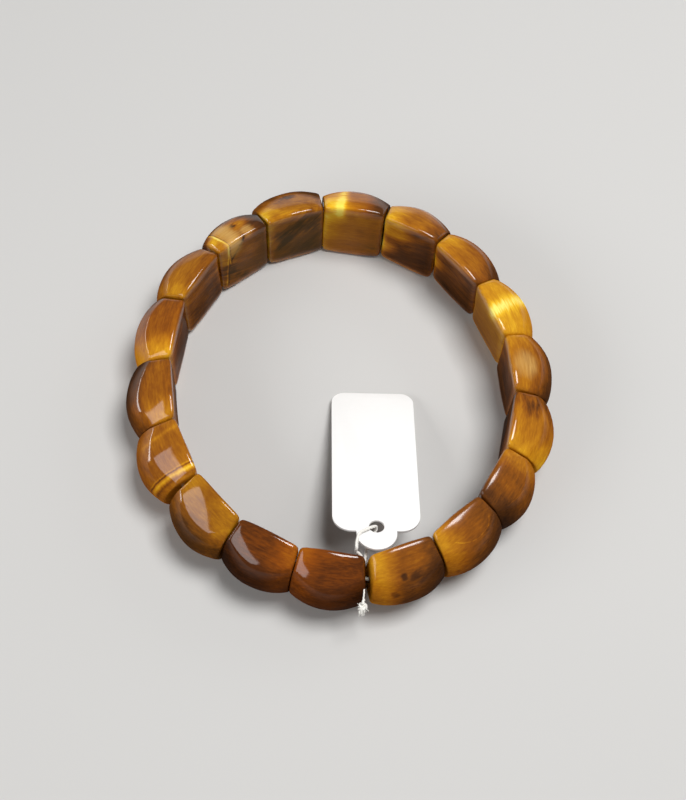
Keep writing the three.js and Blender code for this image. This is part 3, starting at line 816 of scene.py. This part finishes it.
class BRACELET_OT_tag(bpy.types.Operator):
    """Cut the card tag and punch its hole"""

    bl_idname = "bracelet.tag"
    bl_label = "Card tag"

    def execute(self, context):
        size = context.scene.bracelet_tag
        deselect()
        bpy.ops.mesh.primitive_plane_add(size=1, location=(0, -size.body / 2, 0))
        card = context.object
        card.scale = (size.width, size.body, 1)
        bpy.ops.object.transform_apply(location=True, rotation=True, scale=True)
        for far, radius in ((True, size.far_corner), (False, size.near_corner)):
            self.round_corners(card, lambda y: (y > -size.body / 2) == far, radius)
        self.thicken(card, size.thickness)
        self.cut(card, "UNION", size.tab_radius, size.tab_centre, size.thickness)
        self.cut(card, "DIFFERENCE", size.hole_radius, size.hole_centre, size.thickness * 4)
        apply_modifier(
            card, "BEVEL", width=0.05 * MM, segments=2, limit_method="ANGLE", angle_limit=math.radians(60)
        )
        turn = Matrix.Rotation(size.yaw, 4, "Z") @ Matrix.Rotation(size.pitch, 4, "X")
        card.data.transform(Matrix.Translation(size.place) @ turn)
        choose(card)
        bpy.ops.object.shade_smooth_by_angle(angle=math.radians(35))
        settle(card, "card_tag", "card", self.paper(size), ["tag"])
        return {"FINISHED"}

    @staticmethod
    def round_corners(card, test, radius):
        choose(card)
        bpy.ops.object.mode_set(mode="EDIT")
        bpy.ops.mesh.select_all(action="DESELECT")
        bpy.ops.object.mode_set(mode="OBJECT")
        width = max(abs(v.co.x) for v in card.data.vertices)
        for corner in card.data.vertices:
            corner.select = abs(abs(corner.co.x) - width) < 1e-6 and test(corner.co.y)
        bpy.ops.object.mode_set(mode="EDIT")
        bpy.ops.mesh.bevel(offset=radius, affect="VERTICES", segments=10, profile=0.5)
        bpy.ops.object.mode_set(mode="OBJECT")

    @staticmethod
    def thicken(card, thickness):
        choose(card)
        bpy.ops.object.mode_set(mode="EDIT")
        bpy.ops.mesh.select_all(action="SELECT")
        bpy.ops.mesh.extrude_region_move(TRANSFORM_OT_translate={"value": (0, 0, thickness)})
        bpy.ops.mesh.select_all(action="SELECT")
        bpy.ops.mesh.normals_make_consistent(inside=False)
        bpy.ops.object.mode_set(mode="OBJECT")

    @staticmethod
    def cut(card, operation, radius, centre, height):
        deselect()
        bpy.ops.mesh.primitive_cylinder_add(
            vertices=48, radius=radius, depth=height, location=(0, -centre, card.dimensions.z / 2)
        )
        tool = bpy.context.object
        apply_modifier(card, "BOOLEAN", operation=operation, object=tool, solver="EXACT")
        bpy.data.objects.remove(tool)

    @staticmethod
    def paper(size):
        f = Finish("white_card")
        place = f.place()
        fibres = f.noise(f.placed(place, (0, 0, 0), (900, 2200, 900)), 1.0, 4.0, 0.6)
        cloud = f.noise(place, 120.0, 3.0)
        colour = f.mix(fibres * 0.5 + cloud * 0.5, rgba(size.card_shade), rgba(size.card))
        roughness = 0.5 + cloud * 0.15
        return f.surface(Base_Color=colour, Roughness=roughness, Normal=f.bump(fibres, 0.25, 0.04))


def smooth_route(points, steps):
    """Even places on a smooth curve through the points."""
    points = [Vector(p) * MM for p in points]
    points = [points[0] * 2 - points[1], *points, points[-1] * 2 - points[-2]]
    dense = []
    for a, b, c, d in zip(points, points[1:], points[2:], points[3:]):
        t1 = max((b - a).length, 1e-9) ** 0.5
        t2 = t1 + max((c - b).length, 1e-9) ** 0.5
        t3 = t2 + max((d - c).length, 1e-9) ** 0.5
        for i in range(ROUTE_PARTS):
            t = t1 + (t2 - t1) * i / ROUTE_PARTS
            ab = a.lerp(b, t / t1)
            bc = b.lerp(c, (t - t1) / (t2 - t1))
            cd = c.lerp(d, (t - t2) / (t3 - t2))
            before = ab.lerp(bc, t / t2)
            after = bc.lerp(cd, (t - t1) / (t3 - t1))
            dense.append(before.lerp(after, (t - t1) / (t2 - t1)))
    dense.append(points[-2])
    reached = [0.0]
    for p, q in zip(dense, dense[1:]):
        reached.append(reached[-1] + (q - p).length)
    wanted = np.linspace(0, reached[-1], steps)
    dense = np.array(dense)
    return [Vector(p) for p in np.stack([np.interp(wanted, reached, dense[:, i]) for i in range(3)], 1)]


def strand(name, points, radius, sides=2, swell=None):
    """A round strand through the points, as a curve; swell is its thickness at each point."""
    curve = bpy.data.curves.new(name, "CURVE")
    curve.dimensions = "3D"
    curve.bevel_depth = radius
    curve.bevel_resolution = sides
    curve.use_fill_caps = True
    spline = curve.splines.new("POLY")
    spline.points.add(len(points) - 1)
    for point, place, share in zip(spline.points, points, swell or [1.0] * len(points)):
        point.co = (*place, 1)
        point.radius = share
    thing = bpy.data.objects.new(name, curve)
    bpy.context.scene.collection.objects.link(thing)
    return thing


def joined_mesh(things):
    deselect()
    for thing in things:
        thing.select_set(True)
    bpy.context.view_layer.objects.active = things[0]
    bpy.ops.object.convert(target="MESH")
    if len(things) > 1:
        bpy.ops.object.join()
    joined = bpy.context.object
    bpy.ops.object.shade_smooth()
    return joined


def twisted(points, count, radius, pitch, name, swell):
    """Strands wound round each other along the points, thinner where the swell is below 1."""
    offset = radius * PLY_OFFSET
    side = (points[1] - points[0]).orthogonal().normalized()
    plies = [[] for _ in range(count)]
    travelled = 0.0
    for i, point in enumerate(points):
        ahead = (points[min(i + 1, len(points) - 1)] - points[max(i - 1, 0)]).normalized()
        side = (side - ahead * side.dot(ahead)).normalized()
        other = ahead.cross(side)
        if i:
            travelled += (point - points[i - 1]).length
        for k, ply in enumerate(plies):
            angle = 2 * math.pi * (travelled / pitch + k / count)
            ply.append(point + (side * math.cos(angle) + other * math.sin(angle)) * offset * swell[i])
    return [strand(f"{name}_{k}", ply, radius * PLY_RADIUS, swell=swell) for k, ply in enumerate(plies)]


def cotton(name, size):
    f = Finish(name)
    fluff = f.noise(f.place(), 6000.0, 3.0)
    colour = f.mix(fluff, rgba(size.cotton_shade), rgba(size.cotton))
    return f.surface(Base_Color=colour, Roughness=0.9, Normal=f.bump(fluff, 0.5, 0.05), Sheen_Weight=0.3)


class BRACELET_OT_thread(bpy.types.Operator):
    """Twist the cotton thread that ties the tag on"""

    bl_idname = "bracelet.thread"
    bl_label = "Cotton thread"

    def execute(self, context):
        size = context.scene.bracelet_thread
        route = smooth_route(THREAD_ROUTE, THREAD_STEPS)
        # The thread is thinner where it is squeezed between two beads
        swell = [1 - size.pinch * np.interp(place.y / MM, PINCH_FROM, (0, 1, 1, 0)) for place in route]
        plies = twisted(route, size.strands, size.diameter / 2, size.twist, "ply", swell)
        thread = joined_mesh(plies)
        settle(thread, "cotton_thread", "cotton", cotton("thread_cotton", size), ["tag_thread"])
        return {"FINISHED"}


class BRACELET_OT_knot(bpy.types.Operator):
    """Tie the knot and fray its tail"""

    bl_idname = "bracelet.knot"
    bl_label = "Thread knot"

    def execute(self, context):
        size = context.scene.bracelet_thread
        chance = random.Random(FIBRE_SEED)
        middle = Vector(KNOT_PLACE) * MM
        radius = size.knot_radius
        strands = [self.winding(middle, radius), self.heart(middle, radius)]
        for i in range(size.fibres):
            way = Vector((chance.gauss(0, 1), chance.gauss(-0.4, 1), chance.gauss(0, 1))).normalized()
            reach = chance.uniform(0.4, 0.8) * MM
            # Every other fibre hangs down in the tail
            if i % 2:
                way = (way * 0.35 + Vector((0, -0.45, -1))).normalized()
                reach = size.tail * chance.uniform(0.3, 0.75)
            curl = way.orthogonal().normalized() * chance.uniform(-0.25, 0.25) * reach
            start = middle + way * radius * 0.5
            shares = [step / FIBRE_STEPS for step in range(FIBRE_STEPS + 1)]
            fibre = [start + way * reach * share + curl * share**2 for share in shares]
            strands.append(strand(f"fibre_{i}", fibre, chance.uniform(0.03, 0.055) * MM, 1))
        knot = joined_mesh(strands)
        settle(knot, "frayed_knot", "cotton", cotton("knot_cotton", size), ["thread_knot"])
        return {"FINISHED"}

    @staticmethod
    def winding(middle, radius):
        """The thread's turns round the knot, as one closed trefoil."""
        places = []
        for i in range(KNOT_STEPS + 1):
            turn = 2 * math.pi * i / KNOT_STEPS
            out = radius * (0.52 + 0.2 * math.cos(3 * turn))
            rise = radius * 0.5 * math.sin(3 * turn)
            places.append(middle + Vector((out * math.cos(2 * turn), out * math.sin(2 * turn), rise)))
        return strand("wind", places, radius * 0.3)

    @staticmethod
    def heart(middle, radius):
        """The thread inside the turns."""
        places = [middle + Vector((0, 0, radius * share)) for share in (0.5, 0.25, 0, -0.25, -0.5)]
        return strand("heart", places, radius * 0.5)


class BRACELET_OT_stage(bpy.types.Operator):
    """Set the pale floor, the soft lights and the camera"""

    bl_idname = "bracelet.stage"
    bl_label = "Stage"

    def execute(self, context):
        stage = context.scene.bracelet_stage
        deselect()
        bpy.ops.mesh.primitive_plane_add(size=6, location=(0, 0, 0))
        floor = context.object
        floor.name = "floor"
        f = Finish("pale_floor")
        floor.data.materials.append(f.surface(Base_Color=rgba(stage.floor), Roughness=0.8))

        world = bpy.data.worlds.new("studio")
        world.use_nodes = True
        background = world.node_tree.nodes["Background"]
        background.inputs["Color"].default_value = (1.0, 0.98, 0.96, 1.0)
        background.inputs["Strength"].default_value = stage.sky
        context.scene.world = world

        for name, (place, width, depth) in LAMPS.items():
            lamp = self.lamp(name, place, width, depth, getattr(stage, name))
            lamp.visible_glossy = name != "fill"

        data = bpy.data.cameras.new("camera")
        data.lens = stage.lens
        data.sensor_width = 36
        data.clip_start = 0.01
        camera = bpy.data.objects.new("camera", data)
        turn = Matrix.Rotation(stage.tilt, 4, "X") @ Matrix.Rotation(stage.roll, 4, "Z")
        camera.matrix_world = Matrix.Translation(stage.place) @ turn
        context.scene.collection.objects.link(camera)
        context.scene.camera = camera
        context.scene.view_settings.view_transform = "Standard"
        return {"FINISHED"}

    @staticmethod
    def lamp(name, place, width, depth, power):
        light = bpy.data.lights.new(name, "AREA")
        light.shape = "RECTANGLE"
        light.size, light.size_y = width, depth
        light.energy = power
        thing = bpy.data.objects.new(name, light)
        thing.location = place
        thing.rotation_euler = Vector(place).to_track_quat("Z", "Y").to_euler()
        bpy.context.scene.collection.objects.link(thing)
        return thing


class BRACELET_PT_panel(bpy.types.Panel):
    """The bracelet's pieces and what can be changed on them"""

    bl_idname = "BRACELET_PT_panel"
    bl_label = "Bracelet"
    bl_space_type = "VIEW_3D"
    bl_region_type = "UI"
    bl_category = "Bracelet"

    def draw(self, context):
        for operator in OPERATORS:
            self.layout.operator(operator.bl_idname)
        for name, settings in SETTINGS.items():
            group = getattr(context.scene, name)
            box = self.layout.box()
            box.label(text=settings.__doc__)
            for key in settings.__annotations__:
                box.prop(group, key)


SETTINGS = {
    "bracelet_stone": StoneSettings,
    "bracelet_tag": TagSettings,
    "bracelet_thread": ThreadSettings,
    "bracelet_stage": StageSettings,
}
OPERATORS = (
    BRACELET_OT_stage,
    BRACELET_OT_beads,
    BRACELET_OT_elastics,
    BRACELET_OT_tag,
    BRACELET_OT_thread,
    BRACELET_OT_knot,
)
CLASSES = (*SETTINGS.values(), *OPERATORS, BRACELET_PT_panel)


def register():
    for cls in CLASSES:
        bpy.utils.register_class(cls)
    for name, settings in SETTINGS.items():
        setattr(bpy.types.Scene, name, bpy.props.PointerProperty(type=settings))


def unregister():
    for name in SETTINGS:
        delattr(bpy.types.Scene, name)
    for cls in reversed(CLASSES):
        bpy.utils.unregister_class(cls)


def main():
    register()
    bpy.ops.bracelet.stage()
    bpy.ops.bracelet.beads()
    bpy.ops.bracelet.elastics()
    bpy.ops.bracelet.tag()
    bpy.ops.bracelet.thread()
    bpy.ops.bracelet.knot()
    deselect()


if __name__ == "__main__":
    main()
